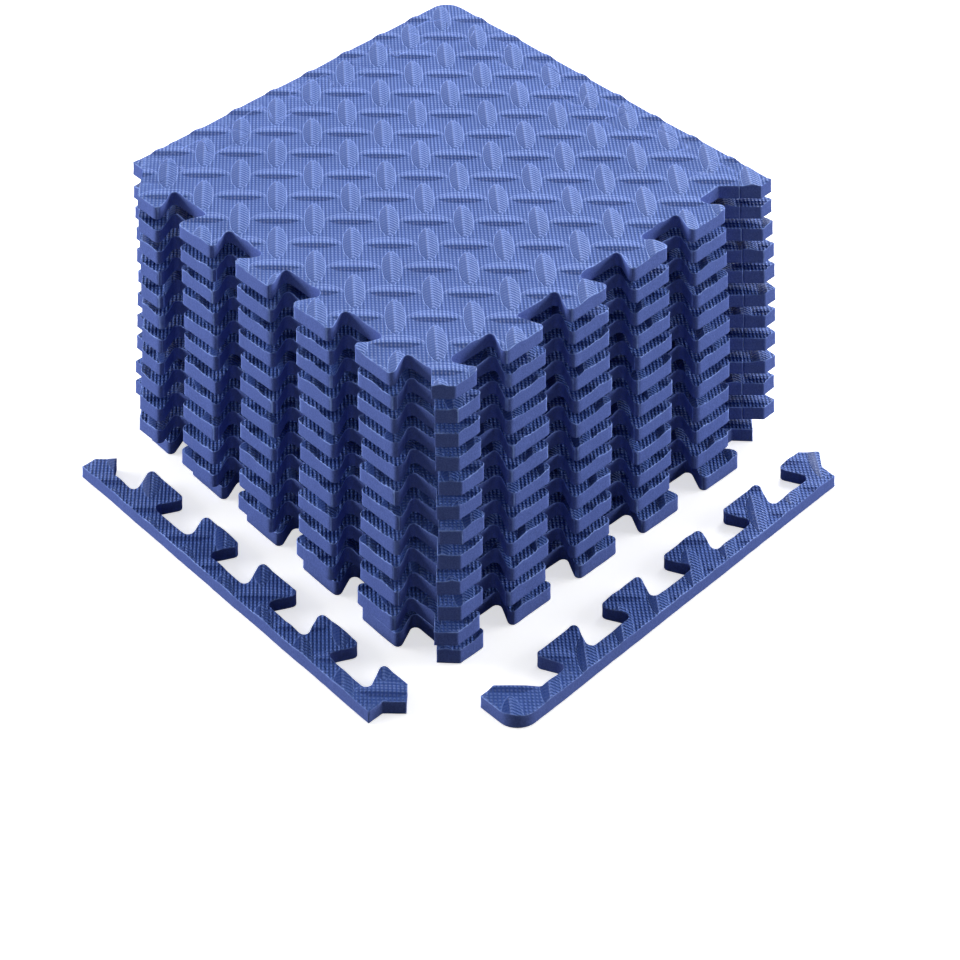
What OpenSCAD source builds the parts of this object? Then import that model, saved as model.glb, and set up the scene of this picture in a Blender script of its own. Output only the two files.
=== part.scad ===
// Stack of interlocking foam blocking mats with their border strips.
// Every mat is a square with the same outline on its four sides, turned a quarter each time,
// so any side locks into any side of another mat. Two border strips close two sides of a mat.
// Millimetres, +Z up, origin on the floor under the middle of the bottom mat.

/* [Mat] */
// Distance from one mat to the next when they are linked
link_pitch = 300; // [280:1:330]
// How far a tooth stands out from the mat's square body
tooth_length = 21.5; // [16:0.5:24]
// Teeth on each side, besides the one at the corner
side_teeth = 4; // [3:1:5]
// Distance from the body's corner to the middle line of its corner tooth
corner_inset = 3.3; // [2:0.1:5]
// Width of a tooth's tip as a share of the distance between teeth
tip_share = 0.68; // [0.62:0.01:0.7]
// Rounding of the teeth and of the recesses between them
tooth_rounding = 3.5; // [2:0.5:4]
// Thickness over the raised tread
mat_thickness = 10; // [8:0.5:14]

/* [Border strips] */
// Width of the band outside the teeth
band_width = 11.3; // [8:0.1:16]
// Rounding of the corner strip's outside corner
corner_rounding = 16; // [8:1:22]
// Gap between a strip and whatever it locks into
seam = 0.2; // [0.1:0.05:0.4]

/* [Stack] */
// Number of mats
mat_count = 12; // [2:1:20]
// Height from one mat to the next
layer_pitch = 15.5; // [15:0.5:24]
// How far a mat strays sideways from its place in the stack
sway = 1.7; // [0:0.1:3]
// How far a mat is turned from its place in the stack, in degrees
twist = 0.25; // [0:0.05:0.5]
// The bottom mat's own place, as sideways shifts along X and Y
bottom_shift = [8.1, -2.3]; // [-9:0.1:9]
// The bottom mat's own turn, in degrees
bottom_turn = -1.8; // [-3:0.1:3]

/* [Loose strips] */
// How far out the loose straight strip lies from where it would lock in
loose_straight_out = 36.1; // [36:0.1:80]
// How far the loose straight strip is moved along its side, towards the front corner
loose_straight_along = 17.2; // [-20:0.1:20]
// Turn of the loose straight strip, in degrees
loose_straight_turn = -1; // [-3:0.1:3]
// How far out the loose corner strip lies from where it would lock in
loose_corner_out = 53.4; // [39:0.1:80]
// How far the loose corner strip is moved along its side, away from the front corner
loose_corner_along = 19.9; // [0:0.1:40]

/* [Hidden] */
body_side = link_pitch - tooth_length;
tooth_pitch = (body_side - 2 * corner_inset) / (side_teeth + 0.5);
tip_width = tip_share * tooth_pitch;
neck_width = tooth_pitch - tip_width;
flank_slope = (tip_width - neck_width) / 2 / tooth_length;
flank_stretch = norm([1, flank_slope]);
diagonal = sqrt(2);
arc_steps = 4;
corner_steps = 10;
foam_blue = [0.31, 0.38, 0.69];

function named(piece, layer) = str(piece, layer < 10 ? "_0" : "_", layer);

// ---- Plan geometry ----
// A side is drawn along u, with v outwards from the body, starting at the body's corner.

function unit(v) = v / norm(v);

function turned(p, angle) = [
    p.x * cos(angle) - p.y * sin(angle),
    p.x * sin(angle) + p.y * cos(angle)
];

// A point of a side in plan; side 0 faces -Y and each next side is a quarter turn further.
function on_side(p, side) =
    turned([p.x - body_side / 2, -body_side / 2 - p.y], 90 * side);

function short_way(angle) =
    angle > 180 ? angle - 360 : angle < -180 ? angle + 360 : angle;

// The arc that rounds the corner at a point between its two neighbours.
function rounded_corner(before, at, after, radius, steps) =
    let (
        back = unit(before - at),
        ahead = unit(after - at),
        half = acos(back * ahead) / 2,
        centre = at + unit(back + ahead) * radius / sin(half),
        first = at + back * radius / tan(half) - centre,
        last = at + ahead * radius / tan(half) - centre,
        start = atan2(first.y, first.x),
        sweep = short_way(atan2(last.y, last.x) - start)
    )
    [
        for (i = [0 : steps])
            centre + radius * [cos(start + sweep * i / steps), sin(start + sweep * i / steps)]
    ];

// Corners are [point, radius] pairs; a radius of 0 keeps the corner sharp.
function outline(corners) = [
    for (i = [0 : len(corners) - 1])
        let (
            at = corners[i],
            before = corners[(i + len(corners) - 1) % len(corners)][0],
            after = corners[(i + 1) % len(corners)][0],
            steps = at[1] > tooth_rounding * 2 ? corner_steps : arc_steps
        )
        each at[1] == 0 ? [at[0]] : rounded_corner(before, at[0], after, at[1], steps)
];

function sharp(u, v) = [[u, v], 0];

// Half the width of a border tooth at depth v, set back from the mat's flanks by the seam.
function border_half(v) = tip_width / 2 - v * flank_slope - seam * flank_stretch;

// Where the 45 degree lines v = u + rise and v = fall - u cross.
function crossing(rise, fall) = sharp((fall - rise) / 2, (fall + rise) / 2);

// ---- Outlines ----

// One side of a mat: half a corner tooth, cut at 45 degrees, then the whole teeth.
side_corners = [
    sharp(0, 0),
    sharp(-tooth_length / 2, tooth_length / 2),
    sharp(0, tooth_length),
    [[corner_inset + tip_width / 2, tooth_length], tooth_rounding],
    [[corner_inset + neck_width / 2, 0], tooth_rounding],
    for (k = [1 : side_teeth]) let (middle = corner_inset + k * tooth_pitch) each [
        [[middle - neck_width / 2, 0], tooth_rounding],
        [[middle - tip_width / 2, tooth_length], tooth_rounding],
        [[middle + tip_width / 2, tooth_length], tooth_rounding],
        [[middle + neck_width / 2, 0], tooth_rounding]
    ]
];

mat_outline = outline([
    for (side = [0 : 3], corner = side_corners) [on_side(corner[0], side), corner[1]]
]);

band_inside = tooth_length + seam;
band_outside = tooth_length + band_width;
border_tip = border_half(seam);
border_neck = border_half(band_inside);
chamfer_rise = tooth_length + seam * diagonal;

// The teeth of a border strip and the half tooth that ends it.
border_teeth = [
    for (k = [0 : side_teeth - 1]) let (middle = corner_inset + (k + 0.5) * tooth_pitch) each [
        [[middle - border_neck, band_inside], tooth_rounding + seam],
        [[middle - border_tip, seam], tooth_rounding - seam],
        [[middle + border_tip, seam], tooth_rounding - seam],
        [[middle + border_neck, band_inside], tooth_rounding + seam]
    ],
    [[body_side - corner_inset - border_neck, band_inside], tooth_rounding + seam],
    [[body_side - corner_inset - border_tip, seam], tooth_rounding - seam]
];

end_rise = seam * diagonal - body_side;
end_fall = body_side + tooth_length - seam / 2 * diagonal;
end_cut = body_side - seam / 2;

// The wedge that ends both kinds of strip, and the band's square cut beside it.
border_end = [
    sharp(seam - end_rise, seam),
    crossing(end_rise, end_fall),
    sharp(end_cut, end_fall - end_cut),
    sharp(end_cut, band_outside)
];

straight_cut = seam / 2 - tooth_length;
straight_fall = seam / 2 * diagonal;

straight_outline = outline(concat(
    [
        sharp(straight_cut, band_outside),
        sharp(straight_cut, straight_fall - straight_cut),
        crossing(chamfer_rise, straight_fall),
        sharp(band_inside - chamfer_rise, band_inside)
    ],
    border_teeth,
    border_end
));

corner_outline = outline(concat(
    [
        [[-band_outside, band_outside], corner_rounding],
        sharp(-band_outside, seam / 2),
        sharp(seam / 2 - chamfer_rise, seam / 2),
        sharp(band_inside - chamfer_rise, band_inside)
    ],
    border_teeth,
    border_end
));

// ---- Places in the stack ----
// A carelessly squared stack: each mat strays a little, in slow waves up the stack.

function layer_shift(layer) =
    layer == 1 ? bottom_shift
    : sway * [sin(layer * 29 + 250), sin(layer * 9 + 300)];

function layer_turn(layer) =
    layer == 1 ? bottom_turn : twist * sin(layer * 143);

module in_layer(layer) {
    translate([layer_shift(layer).x, layer_shift(layer).y, (layer - 1) * layer_pitch])
        rotate(layer_turn(layer))
            children();
}

module sheet(points, side) {
    linear_extrude(mat_thickness)
        polygon([for (p = points) on_side(p, side)]);
}

// ---- Sub-parts ----

module mat(layer) {
    color(foam_blue)
        in_layer(layer)
            linear_extrude(mat_thickness)
                polygon(mat_outline);
}

// The bottom mat's strips lie loose on the floor; every other mat carries its own.
module straight_border(layer) {
    color(foam_blue)
        if (layer == 1)
            translate([-loose_straight_out, -loose_straight_along, 0])
                rotate(loose_straight_turn)
                    sheet(straight_outline, 3);
        else
            in_layer(layer) sheet(straight_outline, 1);
}

module corner_border(layer) {
    color(foam_blue)
        if (layer == 1)
            translate([loose_corner_along, -loose_corner_out, 0])
                sheet(corner_outline, 0);
        else
            in_layer(layer) sheet(corner_outline, 2);
}

for (layer = [1 : mat_count]) {
    mat(layer);
    straight_border(layer);
    corner_border(layer);
}
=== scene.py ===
"""Stack of interlocking foam mats with border strips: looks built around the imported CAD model."""

import functools
import math
from types import SimpleNamespace

import bpy
import numpy as np
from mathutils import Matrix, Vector
from mathutils.geometry import delaunay_2d_cdt


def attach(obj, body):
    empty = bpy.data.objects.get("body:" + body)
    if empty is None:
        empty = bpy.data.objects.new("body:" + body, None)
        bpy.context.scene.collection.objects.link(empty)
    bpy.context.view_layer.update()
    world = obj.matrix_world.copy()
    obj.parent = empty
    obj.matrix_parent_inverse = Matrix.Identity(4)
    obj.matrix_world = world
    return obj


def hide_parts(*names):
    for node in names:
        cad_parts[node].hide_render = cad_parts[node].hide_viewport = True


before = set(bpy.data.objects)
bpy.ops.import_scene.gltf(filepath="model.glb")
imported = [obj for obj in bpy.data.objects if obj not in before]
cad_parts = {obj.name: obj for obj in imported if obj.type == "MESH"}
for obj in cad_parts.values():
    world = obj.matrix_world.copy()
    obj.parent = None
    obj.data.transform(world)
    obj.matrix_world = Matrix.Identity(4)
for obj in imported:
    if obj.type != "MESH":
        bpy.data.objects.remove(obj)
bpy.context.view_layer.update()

MM = 0.001
SAME = 1e-6

# ---- Tread: a lattice of lens-shaped bars, alternating between its two diagonals (mm) ----

CELL = np.array([34.87, 38.28])          # one bar of each direction per cell
LATTICE_TURN = math.radians(2.1)         # the pattern runs a little askew to the mats' sides
TOP_MAT_PHASE = np.array([15.7, -3.1])   # where a bar of the top mat is centred
BAR_HALF_LENGTH = 18.4
BAR_HALF_WIDTH = 6.7
BAR_HEIGHT = 1.15
BAR_END_POWER = 2.6                      # higher is blunter at the ends
BAR_CREST_POWER = 1.25                   # higher is rounder over the crest
BAR_CORE = {1: 1.0, -1: 0.72}            # share of a bar's width that rises, by diagonal
BAR_SWELL = 0.3                          # how much fuller the flanks are than straight ones
TREAD_DROP = 1.35                        # from the CAD's flat top down to the ground between bars
LOOSE_DROP = 2.5                         # the same for the loose strips, which are thinner
LOOSE_RELIEF = 0.6                       # height of the bars on the loose strips, as a share
RING_LEVELS = (0.0, 0.14, 0.4, 0.7)      # contour lines of a bar that the mesh follows
RING_POINTS = 24
CREST_POINTS = 7
CREST_REACH = 0.93                       # share of a bar's length along which its crest is meshed

# ---- Cut edges (mm) ----

EDGE_STEP = 3.0          # longest straight run between two points of a cut edge
SHARP_BEND = math.radians(25)
CORNER_ROOM = 1.1        # how near a sharp corner its supporting points lie
TOP_RIM = 0.4            # rounding of the embossed top edge
BOTTOM_RIM = 0.35
RIM_STEPS = 3
WALL_ROWS = 4
WALL_WAIST = 0.12        # a die-cut wall is drawn in a little at mid height
WANDER = 0.16            # how far a cut strays from its line
WANDER_LENGTH = 55.0
FINE_WANDER = 0.35       # a shorter waver on top, as a share of the long one
FINE_WANDER_LENGTH = 13.0
WARP = 0.3               # how far the skin undulates
WARP_LENGTH = 90.0
LONG_EDGE = 8.0          # edges at least this long, and this little askew, give a piece's turn
SMALL_TURN = math.radians(6)
CORNER_PAINTED_HIGHLIGHT = 0.85       # painted highlight on an upright outer corner, from 0 to 1
# painted highlight on the bottom rim, from 0 to 1
BOTTOM_PAINTED_HIGHLIGHT = 0.3


# ======== Reading outlines and places from the frame ========

def cap_outline(node):
    """The closed outline of a node's flat top, anticlockwise, in mm, with its lowest and highest z."""
    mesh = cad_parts[node].data
    mesh.calc_loop_triangles()
    co = np.empty(len(mesh.vertices) * 3, np.float32)
    mesh.vertices.foreach_get("co", co)
    co = np.round(co.reshape(-1, 3).astype(float) / MM, 3)
    tri = np.empty(len(mesh.loop_triangles) * 3, np.int32)
    mesh.loop_triangles.foreach_get("vertices", tri)
    points, index = np.unique(co, axis=0, return_inverse=True)
    tri = index.reshape(-1)[tri].reshape(-1, 3)
    high = points[:, 2].max()
    tri = tri[(points[tri][:, :, 2] > high - 0.01).all(1)]
    return points[border_loop(tri)][:, :2], points[:, 2].min(), high


def turn_of(outline):
    """How far a piece is turned from the axes, from the edges that run along its own sides."""
    edge = np.roll(outline, -1, 0) - outline
    length = np.hypot(edge[:, 0], edge[:, 1])
    quarter = math.pi / 2
    angle = np.arctan2(edge[:, 1], edge[:, 0])
    off = (angle + quarter / 2) % quarter - quarter / 2
    use = (length > LONG_EDGE) & (abs(off) < SMALL_TURN)
    return float((off[use] * length[use]).sum() / length[use].sum())


def rotation(angle):
    c, s = math.cos(angle), math.sin(angle)
    return np.array([[c, -s], [s, c]])


class Place:
    """A piece's own axes in plan: where its middle lies and how far it is turned."""

    def __init__(self, outline):
        self.turn = turn_of(outline)
        own = outline @ rotation(self.turn)
        self.middle = (own.min(0) + own.max(0)) / 2 @ rotation(self.turn).T

    def to_own(self, p):
        return (p - self.middle) @ rotation(self.turn)


# ======== The tread's relief ========

class Tread:
    """The lattice of bars on one piece: its place, where a bar is centred, and its relief."""

    def __init__(self, place, phase, relief):
        self.place = place
        self.turn = rotation(LATTICE_TURN)
        self.phase = phase
        self.relief = relief

    def cell(self, p):
        """Plan points (mm) to lattice coordinates, in cells."""
        return ((self.place.to_own(p) - self.phase) @ self.turn) / CELL

    def plan(self, c):
        """Lattice coordinates to plan points (mm)."""
        own = (c * CELL) @ self.turn.T + self.phase
        return own @ rotation(self.place.turn).T + self.place.middle

    def lines(self, outline):
        """Contour rings and crests, in plan, of every bar that reaches inside an outline."""
        corners = self.cell(outline)
        start = np.floor(corners.min(0)) - 1
        stop = np.ceil(corners.max(0)) + 1
        i, j = np.meshgrid(np.arange(start[0], stop[0] + 1), np.arange(start[1], stop[1] + 1))
        grid = np.stack([i.ravel(), j.ravel()], 1)
        found = []
        for direction, centres in ((1, grid), (-1, grid + 0.5)):
            shapes = [line for line, _ in bar_lines(direction)]
            rings = self.plan((centres[:, None] + shapes[0]).reshape(-1, 2))
            hit = inside(rings, outline).reshape(len(centres), -1).any(1)
            for centre in centres[hit]:
                found.extend((self.plan(centre + line), closed)
                             for line, closed in bar_lines(direction))
        return found

    def height(self, p):
        """Height of the relief above the ground between bars, in mm."""
        c = self.cell(p)
        return self.relief * np.maximum(bar_height(c, 1), bar_height(c - 0.5, -1))


def bar_axes(direction):
    """Unit vectors along and across a bar; bars lie along the cell's diagonals."""
    along = CELL * (1, direction) / np.linalg.norm(CELL)
    return along, np.array([-along[1], along[0]])


def bar_height(c, direction):
    """Two sloping flanks that meet in a crest and run out at both ends."""
    off = (c - np.round(c)) * CELL
    along, across = bar_axes(direction)
    s = abs(off @ along) / BAR_HALF_LENGTH
    t = abs(off @ across) / (BAR_HALF_WIDTH * BAR_CORE[direction])
    rise = np.clip(1 - s ** BAR_END_POWER - t ** BAR_CREST_POWER, 0, 1)
    return BAR_HEIGHT * rise * (1 + BAR_SWELL * (1 - rise))


@functools.cache
def bar_lines(direction):
    """The contour rings and the crest of a bar, each as points in cells and whether it closes."""
    along, across = bar_axes(direction)
    angle = np.arange(RING_POINTS) * 2 * math.pi / RING_POINTS
    lines = []
    c, d = np.cos(angle), np.sin(angle)
    for level in RING_LEVELS:
        s = np.sign(c) * ((1 - level) * c ** 2) ** (1 / BAR_END_POWER)
        t = np.sign(d) * ((1 - level) * d ** 2) ** (1 / BAR_CREST_POWER) * BAR_CORE[direction]
        lines.append((lens_points(s, t, along, across) / CELL, True))
    s = np.linspace(-CREST_REACH, CREST_REACH, CREST_POINTS)
    lines.append((lens_points(s, 0 * s, along, across) / CELL, False))
    return lines


def lens_points(s, t, along, across):
    return np.outer(s * BAR_HALF_LENGTH, along) + np.outer(t * BAR_HALF_WIDTH, across)


# ======== Soft irregularity ========

def waves(p, seed, wavelength, count=4):
    """A smooth random field of about unit size: a few sine waves in fixed random directions."""
    random = np.random.default_rng(seed)
    total = np.zeros(len(p))
    for _ in range(count):
        angle, phase = random.uniform(0, 2 * math.pi, 2)
        length = wavelength * random.uniform(0.7, 1.4)
        way = np.array([math.cos(angle), math.sin(angle)])
        total += np.sin(p @ way * 2 * math.pi / length + phase)
    return total / math.sqrt(count)


def strayed(p, place, seed):
    """A cut line that wanders a little; neighbours cut from one sheet wander together."""
    own = place.to_own(p)
    shift = np.stack([waves(own, seed + axis, WANDER_LENGTH)
                      + FINE_WANDER * waves(own, seed + 7 + axis, FINE_WANDER_LENGTH)
                      for axis in (0, 1)], 1)
    return p + WANDER * shift


# ======== Foam meshes ========

def subdivided(outline):
    """Points along an outline, close together at sharp corners, and which ones are outer corners."""
    ahead = np.roll(outline, -1, 0) - outline
    back = np.roll(ahead, 1, 0)
    bend = np.arctan2(back[:, 0] * ahead[:, 1] - back[:, 1] * ahead[:, 0], (back * ahead).sum(1))
    sharp = abs(bend) > SHARP_BEND
    points, outer = [], []
    for i, edge in enumerate(ahead):
        length = np.linalg.norm(edge)
        count = max(1, math.ceil(length / EDGE_STEP))
        shares = [k / count for k in range(count)]
        if length > 4 * CORNER_ROOM:
            shares += [CORNER_ROOM / length] * bool(sharp[i])
            shares += [1 - CORNER_ROOM / length] * bool(sharp[(i + 1) % len(sharp)])
        shares.sort()
        points.extend(outline[i] + edge * share for share in shares)
        outer.extend([float(bend[i] > SHARP_BEND)] + [0.0] * (len(shares) - 1))
    return np.array(points), np.array(outer)


def inward(outline):
    """Mitred inward direction at each point of an anticlockwise outline."""
    edge = np.roll(outline, -1, 0) - outline
    normal = np.stack([-edge[:, 1], edge[:, 0]], 1) / np.linalg.norm(edge, axis=1)[:, None]
    before = np.roll(normal, 1, 0)
    return (normal + before) / (1 + (normal * before).sum(1))[:, None]


def inside(p, outline):
    """Whether each point lies inside a closed outline, by counting crossings edge by edge."""
    order = np.argsort(p[:, 1])
    x, y = p[order].T
    odd = np.zeros(len(p), bool)
    after = np.roll(outline, -1, 0)
    first = np.searchsorted(y, np.minimum(outline[:, 1], after[:, 1]))
    last = np.searchsorted(y, np.maximum(outline[:, 1], after[:, 1]))
    for a, b, i, j in zip(outline, after, first, last):
        if i < j:
            odd[i:j] ^= x[i:j] < a[0] + (y[i:j] - a[1]) * (b[0] - a[0]) / (b[1] - a[1])
    result = np.empty(len(p), bool)
    result[order] = odd
    return result


def triangulated(outline, lines):
    """Points and triangles that fill an outline and follow the given lines, clipped to it."""
    points = [outline]
    edges = [ring_edges(0, len(outline))]
    count = len(outline)
    for line, closed in lines:
        points.append(line)
        edges.append(ring_edges(count, len(line))[:None if closed else -1])
        count += len(line)
    made = delaunay_2d_cdt([Vector(p) for p in np.concatenate(points)],
                           np.concatenate(edges).tolist(), [], 0, 1e-4, False)
    co = np.array([tuple(v) for v in made[0]])
    tri = np.array(made[2])
    tri = tri[inside(co[tri].mean(1), outline)]
    used, tri = np.unique(tri, return_inverse=True)
    return co[used], tri.reshape(-1, 3)


def ring_edges(start, count):
    i = np.arange(count)
    return np.stack([start + i, start + (i + 1) % count], 1)


def border_loop(tri):
    """The outer loop of a patch of triangles, in order: the edges that only one triangle has."""
    edges = np.concatenate([tri, np.roll(tri, -1, 1)]).reshape(2, -1).T.astype(np.int64)
    size = tri.max() + 1
    alone = ~np.isin(edges[:, 0] * size + edges[:, 1], edges[:, 1] * size + edges[:, 0])
    follow = dict(edges[alone].tolist())
    first = here = min(follow)
    loop = []
    while not loop or here != first:
        loop.append(here)
        here = follow[here]
    assert len(loop) == len(follow), "the patch has more than one border"
    return np.array(loop)


def on_outline(p, outline):
    """For points on an outline: the edge each lies on, and how far along it."""
    a = outline
    edge = np.roll(outline, -1, 0) - a
    length2 = (edge ** 2).sum(1)
    t = np.clip(((p[:, None] - a) * edge).sum(2) / length2, 0, 1)
    gap = np.linalg.norm(a + t[:, :, None] * edge - p[:, None], axis=2)
    best = gap.argmin(1)
    return best, t[np.arange(len(p)), best]


def strip_of_quads(upper, lower):
    """Triangles between two closed rows of the same length, facing outwards."""
    a, b = upper, np.roll(upper, -1)
    c, d = lower, np.roll(lower, -1)
    return np.concatenate([np.stack([a, c, d], 1), np.stack([a, d, b], 1)])


class Skin:
    """The embossed face of one piece: its tread, and how much it undulates."""

    def __init__(self, tread, ground, seed, warp, beading):
        self.tread = tread
        self.ground = ground
        self.seed = seed
        self.warp = warp
        self.beading = beading

    def height(self, p):
        """Height of the skin at plan points, in mm."""
        own = self.tread.place.to_own(p)
        undulation = self.warp * waves(own, self.seed + 20, WARP_LENGTH)
        return self.ground + self.tread.height(p) + undulation


class Shell:
    """The points and triangles of a piece, from its skin down to its underside."""

    def __init__(self, top, tri, loop, corner_highlight):
        self.parts = [top]
        self.tris = [tri]
        self.rims = [np.zeros(len(top))]
        self.rims[0][loop] = 0.5
        self.row = loop
        self.corner_highlight = corner_highlight

    def add_row(self, plan, z, rim_highlight):
        """A closed row of points below the last row, joined to it."""
        start = sum(len(part) for part in self.parts)
        row = np.arange(start, start + len(plan))
        self.parts.append(np.column_stack([plan, np.broadcast_to(z, (len(plan),))]))
        self.rims.append(np.maximum(self.corner_highlight, rim_highlight))
        self.tris.append(strip_of_quads(self.row, row))
        self.row = row

    def add_wall(self, outer, outward, top, low):
        """A rounded top rim, a cut wall drawn in at mid height, and a rounded bottom rim."""
        quarter = math.pi / 2 * np.arange(1, RIM_STEPS + 1) / RIM_STEPS
        # the last value of each row is its painted highlight, strongest partway round the top rim
        for angle in quarter:
            self.add_row(outer - outward * TOP_RIM * (1 - math.sin(angle)),
                         top - TOP_RIM * (1 - math.cos(angle)),
                         1 - abs(2 * angle / math.pi - 0.5))
        head, foot = top - TOP_RIM, low + BOTTOM_RIM
        for down in np.arange(1, WALL_ROWS + 1) / WALL_ROWS:
            self.add_row(outer - outward * WALL_WAIST * math.sin(math.pi * down),
                         head + (foot - head) * down, 0.0)
        for angle in quarter:
            self.add_row(outer - outward * BOTTOM_RIM * (1 - math.cos(angle)),
                         low + BOTTOM_RIM * (1 - math.sin(angle)), BOTTOM_PAINTED_HIGHLIGHT)

    def add_underside(self):
        plan = self.parts[-1][:, :2]
        under, tri = triangulated(plan, [])
        nearest = ((under[:, None] - plan) ** 2).sum(2).argmin(1)
        self.tris.append(self.row[nearest][tri][:, ::-1])


def outer_edge(border, inset, cut, corners):
    """Where the cut line passes each point of the skin's border, and how much painted highlight it
    gets there.
    """
    where, share = on_outline(border, inset)
    after = (where + 1) % len(cut)
    outer = cut[where] + (cut[after] - cut[where]) * share[:, None]
    rim_highlight = np.maximum(corners[where] * (share < SAME), corners[after] * (share > 1 - SAME))
    return outer, CORNER_PAINTED_HIGHLIGHT * rim_highlight


def foam_mesh(name, outline, low, skin):
    """A slab of foam with an embossed top, on a CAD outline."""
    points, corners = subdivided(outline)
    cut = strayed(points, skin.tread.place, skin.seed)
    inset = cut + inward(cut) * TOP_RIM
    top, tri = triangulated(inset, skin.tread.lines(cut))
    loop = border_loop(tri)
    border, z = top[loop], skin.height(top)
    outer, corner_highlight = outer_edge(border, inset, cut, corners)
    shell = Shell(np.column_stack([top, z]), tri, loop, corner_highlight)
    shell.add_wall(outer, (outer - border) / TOP_RIM, z[loop], low)
    shell.add_underside()

    co = np.concatenate(shell.parts)
    mesh = mesh_from(name, co * MM, np.concatenate(shell.tris))
    cell = np.column_stack([skin.tread.cell(co[:, :2]), np.zeros(len(co))])
    add_attribute(mesh, "cell", "FLOAT_VECTOR", cell)
    add_attribute(mesh, "rim", "FLOAT", np.concatenate(shell.rims))
    add_attribute(mesh, "beading", "FLOAT", np.full(len(co), skin.beading))
    return mesh


def add_attribute(mesh, name, kind, values):
    field = "vector" if kind == "FLOAT_VECTOR" else "value"
    data = mesh.attributes.new(name, kind, "POINT").data
    data.foreach_set(field, values.astype(np.float32).ravel())


def mesh_from(name, co, tri):
    mesh = bpy.data.meshes.new(name)
    mesh.vertices.add(len(co))
    mesh.vertices.foreach_set("co", co.astype(np.float32).ravel())
    mesh.loops.add(tri.size)
    mesh.loops.foreach_set("vertex_index", tri.astype(np.int32).ravel())
    mesh.polygons.add(len(tri))
    mesh.polygons.foreach_set("loop_start", np.arange(len(tri), dtype=np.int32) * 3)
    mesh.polygons.foreach_set("use_smooth", np.ones(len(tri), bool))
    mesh.update(calc_edges=True)
    mesh.validate()
    return mesh


# ======== Material ========

class Nodes:
    """Short forms for building a shader tree."""

    def __init__(self, material):
        material.use_nodes = True
        self.tree = material.node_tree
        self.tree.nodes.clear()

    def new(self, kind, **settings):
        node = self.tree.nodes.new(kind)
        for key, value in settings.items():
            setattr(node, key, value)
        return node

    def feed(self, socket, value):
        if isinstance(value, bpy.types.NodeSocket):
            self.tree.links.new(value, socket)
        else:
            socket.default_value = value

    def math(self, operation, a, b=0.0, clamp=False):
        node = self.new("ShaderNodeMath", operation=operation, use_clamp=clamp)
        self.feed(node.inputs[0], a)
        self.feed(node.inputs[1], b)
        return node.outputs[0]

    def times(self, first, *others):
        product = first
        for other in others:
            product = self.math("MULTIPLY", product, other)
        return product

    def less(self, value):
        """One minus a value."""
        return self.math("SUBTRACT", 1.0, value)

    def wave(self, phase):
        """1 where the phase is whole and 0 halfway, smooth in between."""
        turn = self.math("COSINE", self.math("MULTIPLY", phase, 2 * math.pi))
        return self.math("ADD", self.math("MULTIPLY", turn, 0.5), 0.5)

    def attribute(self, name, kind="Fac"):
        return self.new("ShaderNodeAttribute", attribute_name=name).outputs[kind]

    def split(self, vector):
        node = self.new("ShaderNodeSeparateXYZ")
        self.feed(node.inputs[0], vector)
        return tuple(node.outputs)

    def finish(self, shader, output="ShaderNodeOutputMaterial"):
        self.feed(self.new(output).inputs["Surface"], shader.outputs[0])

    def ramp(self, value, low, high):
        """0 at low, 1 at high, smooth in between; low may be above high."""
        node = self.new("ShaderNodeMapRange", interpolation_type="SMOOTHSTEP")
        self.feed(node.inputs["Value"], value)
        node.inputs["From Min"].default_value = low
        node.inputs["From Max"].default_value = high
        return node.outputs["Result"]

    def noise(self, vector, scale, detail, roughness):
        node = self.new("ShaderNodeTexNoise")
        self.feed(node.inputs["Vector"], vector)
        node.inputs["Scale"].default_value = scale
        node.inputs["Detail"].default_value = detail
        node.inputs["Roughness"].default_value = roughness
        return node.outputs["Fac"]

    def mix(self, factor, a, b):
        node = self.new("ShaderNodeMix", data_type="RGBA")
        self.feed(node.inputs[0], factor)
        self.feed(node.inputs[6], a)
        self.feed(node.inputs[7], b)
        return node.outputs[2]


RIBS_PER_CELL = 10.0       # fine ribs along one diagonal
BEADS_PER_CELL = 10.0      # and their division into beads along the other
STROKE_SLANT = 1.2         # how far the strokes on a flank trail behind its crest, in strokes
BEADING = 0.85             # how deeply the ribs are divided, which also deepens the painted shade in the grain's hollows and on the bars' dark flanks; the top mat's are shallower, with less painted shade and a brighter painted highlight on the bars' outlines
TOP_BEADING = 0.42
GRAIN_DEPTH = 0.0008       # metres
FOAM_LIGHT = (0.125, 0.220, 0.620, 1)
FOAM_DEEP = (0.100, 0.185, 0.540, 1)
# painted shade in the grain's hollows
FOAM_HOLLOW_SHADE = (0.045, 0.090, 0.330, 1)
FOAM_SHADE = (0.032, 0.066, 0.260, 1)
FOAM_CUT = (0.120, 0.175, 0.500, 1)
FOAM_CUT_DEEP = (0.085, 0.125, 0.370, 1)
# painted highlight on the bars' lit flanks, crests and outlines, and on rims and upright corners
FOAM_HIGHLIGHT = (0.26, 0.38, 0.84, 1)
SHINE = (0.62, 0.74, 1.0, 1)
SHEEN = (0.5, 0.65, 1.0, 1)
BLOTCHES = (26.0, 3.0, 0.55)     # noises: scale per metre, detail, roughness
HIGHLIGHT_PATCHES = (60.0, 3.0, 0.6)
FINE = (420.0, 3.0, 0.6)
FOAM_CELLS = (1100.0, 3.0, 0.7)
PORES = (1900.0, 2.0, 0.6)


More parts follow.
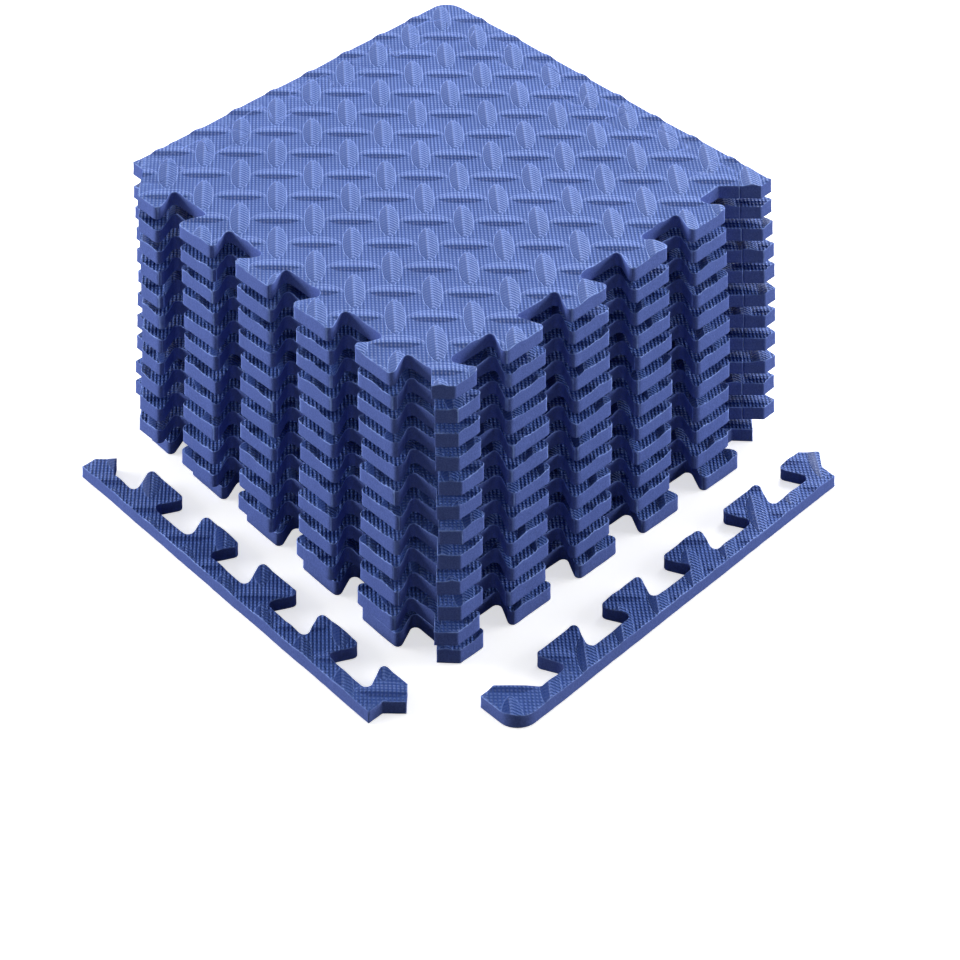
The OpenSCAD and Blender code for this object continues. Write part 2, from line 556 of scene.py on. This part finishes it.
def bar_level(n, u, v, direction):
    """The lens of bar_height in shader nodes: 0 at a bar's outline, 1 on its crest.

    Also the signed distance across the bar, as a share of its half width.
    """
    du = n.math("SUBTRACT", u, n.math("ROUND", u))
    dv = n.math("SUBTRACT", v, n.math("ROUND", v))
    along, across = bar_axes(direction)

    def dot(way, size):
        x = n.math("MULTIPLY", du, float(CELL[0] * way[0] / size))
        y = n.math("MULTIPLY", dv, float(CELL[1] * way[1] / size))
        return n.math("ADD", x, y)

    s, t = dot(along, BAR_HALF_LENGTH), dot(across, BAR_HALF_WIDTH)
    level = 1.0
    for part, power in ((s, BAR_END_POWER), (t, BAR_CREST_POWER)):
        level = n.math("SUBTRACT", level, n.math("POWER", n.math("ABSOLUTE", part), power))
    return level, t


def bar_regions(n, u, v):
    """Masks of the parts of the bars, whose dark flanks are those turned away from the light.

    The limits of the ramps are levels of bar_level, or shares of a bar's half width.
    """
    level_a, t_a = bar_level(n, u, v, 1)
    level_b, t_b = bar_level(n, n.math("SUBTRACT", u, 0.5), n.math("SUBTRACT", v, 0.5), -1)
    on_bar = n.ramp(level_a, 0.02, 0.1)
    line = n.math("MAXIMUM", *(n.times(n.ramp(level, -0.13, -0.06), n.ramp(level, 0.08, 0.02))
                               for level in (level_a, level_b)))
    near_side = n.times(n.ramp(level_b, -0.2, -0.1), n.ramp(t_b, 0.0, -0.3))
    return SimpleNamespace(
        on_bar=on_bar,
        from_crest=n.math("ABSOLUTE", t_a),
        dark_side=n.times(on_bar, n.ramp(t_a, 0.06, 0.2)),
        lit_side=n.times(on_bar, n.ramp(t_a, 0.16, 0.04)),
        crest=n.times(n.ramp(level_a, 0.1, 0.3), n.ramp(n.math("ABSOLUTE", t_a), 0.16, 0.06)),
        dark_band=n.times(n.ramp(level_b, 0.12, 0.26), n.ramp(t_b, -0.1, -0.26),
                          n.ramp(t_b, -0.84, -0.62)),
        lit_band=n.times(n.ramp(level_b, 0.1, 0.3), n.ramp(t_b, -0.22, -0.06)),
        line=n.times(line, n.less(near_side)))


def grain_height(n, u, v, beading, smooth, bars):
    """Ribs along one diagonal, beaded along the other, and slanting strokes on the flanks.

    The strokes are faint on the dark flanks, and on the lit ones of the smooth top mat.
    """
    rib = n.less(n.wave(n.times(n.math("SUBTRACT", u, v), RIBS_PER_CELL)))
    rows = n.times(n.math("ADD", u, v), BEADS_PER_CELL)
    ground = n.times(rib, n.less(n.times(n.wave(rows), beading)))
    stroke = n.wave(n.math("ADD", rows, n.times(bars.from_crest, STROKE_SLANT)))
    stroke = n.times(stroke, n.math("ADD", 0.5, n.times(rib, 0.5)))
    faint = n.math("ADD", n.times(bars.dark_side, 0.8), n.times(bars.lit_side, smooth, 0.45))
    stroke = n.less(n.times(n.less(stroke), n.less(faint)))
    return n.math("ADD", n.times(ground, n.less(bars.on_bar)),
                  n.times(stroke, bars.on_bar))


def skin_tone(n, grain, hollow_shade, bars, smooth, where):
    """The embossed skin: blotches, painted shade in the grain's hollows and on the flanks turned from
    the light, painted highlights on the lit flanks, crests and outlines of the bars.
    """
    tone = n.mix(n.ramp(n.noise(where, *BLOTCHES), 0.3, 0.7), FOAM_DEEP, FOAM_LIGHT)
    # painted shade in the grain's hollows
    tone = n.mix(n.times(hollow_shade, 0.8), tone, FOAM_HOLLOW_SHADE)
    # painted shade on the bars' dark flanks and near bands, deeper where the beading is deep, as off
    # the top mat
    deep = n.math("SUBTRACT", 0.95, n.times(smooth, 0.38))
    shade = n.math("ADD", n.times(bars.dark_side, deep), n.times(bars.dark_band, 0.75))
    tone = n.mix(shade, tone, FOAM_SHADE)
    # painted highlight on the lit flanks of the lying bars and the crests of the standing ones, in the
    # grain's pattern
    painted_highlight = n.math("ADD", n.times(bars.lit_band, 0.6), n.times(bars.crest, 0.7))
    tone = n.mix(n.times(painted_highlight, grain), tone, FOAM_HIGHLIGHT)
    # painted highlight along the bars' outlines, dotted by the grain and brighter where the beading is
    # shallow, as on the top mat
    glint = n.math("ADD", 0.12, n.times(smooth, 0.36))
    line = n.times(bars.line, glint, n.math("ADD", 0.5, n.times(grain, 0.9)))
    return n.mix(line, tone, FOAM_HIGHLIGHT)


def rim_highlights(n, tone, fine, where):
    """Painted highlights on the rims and upright corners, in patches."""
    rim_highlight = n.ramp(n.math("ADD", n.attribute("rim"), n.times(fine, 0.5)), 0.6, 1.0)
    patches = n.times(n.ramp(n.noise(where, *HIGHLIGHT_PATCHES), 0.42, 0.6), 0.7)
    return n.mix(n.times(rim_highlight, n.math("ADD", 0.3, patches)), tone, FOAM_HIGHLIGHT)


def foam_bump(n, grain, fine, where):
    bump = n.new("ShaderNodeBump")
    bump.inputs["Strength"].default_value = 1.0
    bump.inputs["Distance"].default_value = GRAIN_DEPTH
    unevenness = n.math("ADD", n.times(n.noise(where, *PORES), 0.10), n.times(fine, 0.22))
    n.feed(bump.inputs["Height"], n.math("ADD", grain, unevenness))
    return bump.outputs["Normal"]


def foam_surface(n, tone, rough, gloss, normal):
    surface = n.new("ShaderNodeBsdfPrincipled")
    for name, value in {
        "Base Color": tone,
        "Roughness": rough,
        "Specular IOR Level": gloss,
        "Specular Tint": SHINE,
        "Sheen Weight": 0.04,
        "Sheen Roughness": 0.5,
        "Sheen Tint": SHEEN,
        "Normal": normal,
    }.items():
        n.feed(surface.inputs[name], value)
    n.finish(surface)


def foam_material():
    """Embossed skin on the faces that look up or down, cut foam on the walls, painted highlights on
    the rims.
    """
    material = bpy.data.materials.new("foam")
    n = Nodes(material)
    u, v, _ = n.split(n.attribute("cell", "Vector"))
    beading = n.attribute("beading")
    where = n.new("ShaderNodeTexCoord").outputs["Object"]
    upright = n.split(n.new("ShaderNodeNewGeometry").outputs["Normal"])[2]
    skin = n.ramp(n.math("ABSOLUTE", upright), 0.55, 0.85)
    # 1 on the top mat's shallow beading; it lightens the painted shade and brightens the painted
    # outline highlight
    smooth = n.math("MULTIPLY", n.less(beading), 1.8, clamp=True)
    fine = n.noise(where, *FINE)

    bars = bar_regions(n, u, v)
    grain = n.times(grain_height(n, u, v, beading, smooth, bars), skin)
    # painted shade in the grain's hollows, half as strong along the bars' outlines; it also damps the
    # shine there
    hollow_shade = n.times(n.less(grain), n.less(n.times(bars.line, 0.5)))
    tone = skin_tone(n, grain, hollow_shade, bars, smooth, where)
    cells = n.mix(n.ramp(n.noise(where, *FOAM_CELLS), 0.3, 0.7), FOAM_CUT_DEEP, FOAM_CUT)
    tone = rim_highlights(n, n.mix(n.less(skin), tone, cells), fine, where)

    rough = n.math("SUBTRACT", n.math("ADD", 0.42, n.times(fine, 0.14)),
                   n.times(grain, n.math("ADD", 0.08, n.times(beading, 0.16))))
    gloss = n.times(n.less(n.times(hollow_shade, 0.85)), n.math("ADD", skin, 0.4),
                    n.math("ADD", 0.28, n.times(beading, 0.2)))
    foam_surface(n, tone, rough, gloss, foam_bump(n, grain, fine, where))
    return material


FLOOR_SEEN = (0.9, 0.9, 0.9, 1)
FLOOR_GLOW = 0.65
FLOOR_THROWN = (0.3, 0.3, 0.3, 1)


def floor_material():
    """White to the camera; duller to everything else, so that it throws little light upwards."""
    material = bpy.data.materials.new("floor")
    n = Nodes(material)
    seen = n.new("ShaderNodeBsdfPrincipled")
    seen.inputs["Base Color"].default_value = FLOOR_SEEN
    seen.inputs["Roughness"].default_value = 0.8
    seen.inputs["Emission Color"].default_value = (1, 1, 1, 1)
    seen.inputs["Emission Strength"].default_value = FLOOR_GLOW
    thrown = n.new("ShaderNodeBsdfDiffuse")
    thrown.inputs["Color"].default_value = FLOOR_THROWN
    both = n.new("ShaderNodeMixShader")
    n.feed(both.inputs[0], n.new("ShaderNodeLightPath").outputs["Is Camera Ray"])
    n.feed(both.inputs[1], thrown.outputs[0])
    n.feed(both.inputs[2], seen.outputs[0])
    n.finish(both)
    return material


# ======== The pieces ========

PHASE_STEP = CELL * (0.618, 0.382)    # a step that doesn't repeat over the stack


def add_piece(node, outline, low, skin, foam):
    """The foam that replaces a node's CAD solid and moves with it."""
    mesh = foam_mesh(f"{node}_foam", outline, low, skin)
    mesh.materials.append(foam)
    piece = bpy.data.objects.new(f"{node}_foam", mesh)
    bpy.context.scene.collection.objects.link(piece)
    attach(piece, node)
    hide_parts(node)


def build_pieces():
    """Each layer's mat and strips share one sheet; the bottom layer's strips lie loose."""
    foam = foam_material()
    layers = sorted(int(name[-2:]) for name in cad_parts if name.startswith("mat_"))
    bottom, top = layers[0], layers[-1]
    for layer in layers:
        nodes = {kind: f"{kind}_{layer:02d}" for kind in ("mat", "straight_border", "corner_border")}
        outlines = {kind: cap_outline(node) for kind, node in nodes.items()}
        sheet = Place(outlines["mat"][0])
        phase = TOP_MAT_PHASE + PHASE_STEP * (top - layer)
        for kind, (outline, low, high) in outlines.items():
            loose = kind != "mat" and layer == bottom
            place = Place(outline) if loose else sheet
            tread = Tread(place, phase, LOOSE_RELIEF if loose else 1.0)
            ground = high - (LOOSE_DROP if loose else TREAD_DROP)
            skin = Skin(tread, ground, seed=100 * layer, warp=0 if layer == bottom else WARP,
                        beading=TOP_BEADING if layer == top else BEADING)
            add_piece(nodes[kind], outline, low, skin, foam)


# ======== Floor, light and camera ========

CAMERA_AT = (-1.4116, -1.4701, 1.4042)
CAMERA_AZIMUTH = -44.587      # degrees; the camera is level
LENS = 108.03                 # mm, on a 36 mm sensor
RISE = -2.112                 # vertical lens shift, in picture widths
AWAY = 0.1                    # metres from its place at which the camera has lost the shift
BACK_LIGHT = 1.1              # strength of the surround behind the stack and in front of it
FRONT_LIGHT = 0.06
FLOOR_REACH = 12.0
FLOOR_SINK = 0.0002           # keeps the floor clear of the undersides
LIT_POINT = Vector((0, 0, 0.1))
LIGHTS = (                    # name, place, size, watts, whether it shows as highlights
    ("key", (1.5, 0.4, 1.25), (1.0, 1.0), 25.5, True),
    ("left", (-1.4, 1.7, 0.55), (1.3, 0.8), 54, False),
    ("right", (1.7, -1.4, 0.55), (1.3, 0.8), 44, False),
    ("fill", (-1.7, -1.1, 0.35), (1.2, 0.6), 1.2, False),
)


def add_camera():
    """A level camera with its lens shifted down, so uprights stay parallel.

    The shift belongs to this viewpoint only, so a driver drops it when the camera is anywhere else.
    """
    camera = bpy.data.objects.new("camera", bpy.data.cameras.new("camera"))
    home = bpy.data.objects.new("camera_home", None)
    for item in (camera, home):
        bpy.context.scene.collection.objects.link(item)
        item.location = CAMERA_AT
    camera.rotation_euler = (math.radians(90), 0, math.radians(CAMERA_AZIMUTH))
    camera.data.sensor_width = 36
    camera.data.lens = LENS
    camera.data.clip_start = 0.05
    camera.data.clip_end = 50
    camera.data.shift_y = RISE
    bpy.context.scene.camera = camera

    curve = camera.data.driver_add("shift_y")
    driver = curve.driver
    driver.type = "AVERAGE"
    gap = driver.variables.new()
    gap.type = "LOC_DIFF"
    gap.targets[0].id = camera
    gap.targets[1].id = home
    for modifier in list(curve.modifiers):
        curve.modifiers.remove(modifier)
    for distance, shift in ((0, RISE), (AWAY, 0)):
        curve.keyframe_points.insert(distance, shift)
    curve.extrapolation = "CONSTANT"


def area_light(name, place, size, power, glossy):
    """A soft rectangular light aimed at the stack."""
    data = bpy.data.lights.new(name, "AREA")
    data.shape = "RECTANGLE"
    data.size, data.size_y = size
    data.energy = power
    light = bpy.data.objects.new(name, data)
    light.location = place
    light.rotation_euler = (LIT_POINT - light.location).to_track_quat("-Z", "Y").to_euler()
    light.visible_glossy = glossy
    bpy.context.scene.collection.objects.link(light)


def studio_world():
    """A surround that is bright behind the stack and dark on the camera's side."""
    world = bpy.data.worlds.new("studio")
    n = Nodes(world)
    split = n.new("ShaderNodeSeparateXYZ")
    n.feed(split.inputs[0], n.new("ShaderNodeTexCoord").outputs["Generated"])
    away = math.radians(90 + CAMERA_AZIMUTH)
    behind = n.math("ADD", n.math("MULTIPLY", split.outputs[0], math.cos(away)),
                    n.math("MULTIPLY", split.outputs[1], math.sin(away)))
    light = n.new("ShaderNodeBackground")
    n.feed(light.inputs["Strength"], n.math("ADD", FRONT_LIGHT, n.math(
        "MULTIPLY", n.ramp(behind, -0.6, 0.7), BACK_LIGHT - FRONT_LIGHT)))
    n.finish(light, "ShaderNodeOutputWorld")
    return world


def add_floor():
    a = FLOOR_REACH
    mesh = bpy.data.meshes.new("floor")
    mesh.from_pydata([(-a, -a, 0), (a, -a, 0), (a, a, 0), (-a, a, 0)], [], [(0, 1, 2, 3)])
    mesh.materials.append(floor_material())
    floor = bpy.data.objects.new("floor", mesh)
    floor.location.z = -FLOOR_SINK
    bpy.context.scene.collection.objects.link(floor)


def add_studio():
    add_floor()
    bpy.context.scene.world = studio_world()
    for light in LIGHTS:
        area_light(*light)
    bpy.context.scene.view_settings.view_transform = "Standard"


build_pieces()
add_studio()
add_camera()
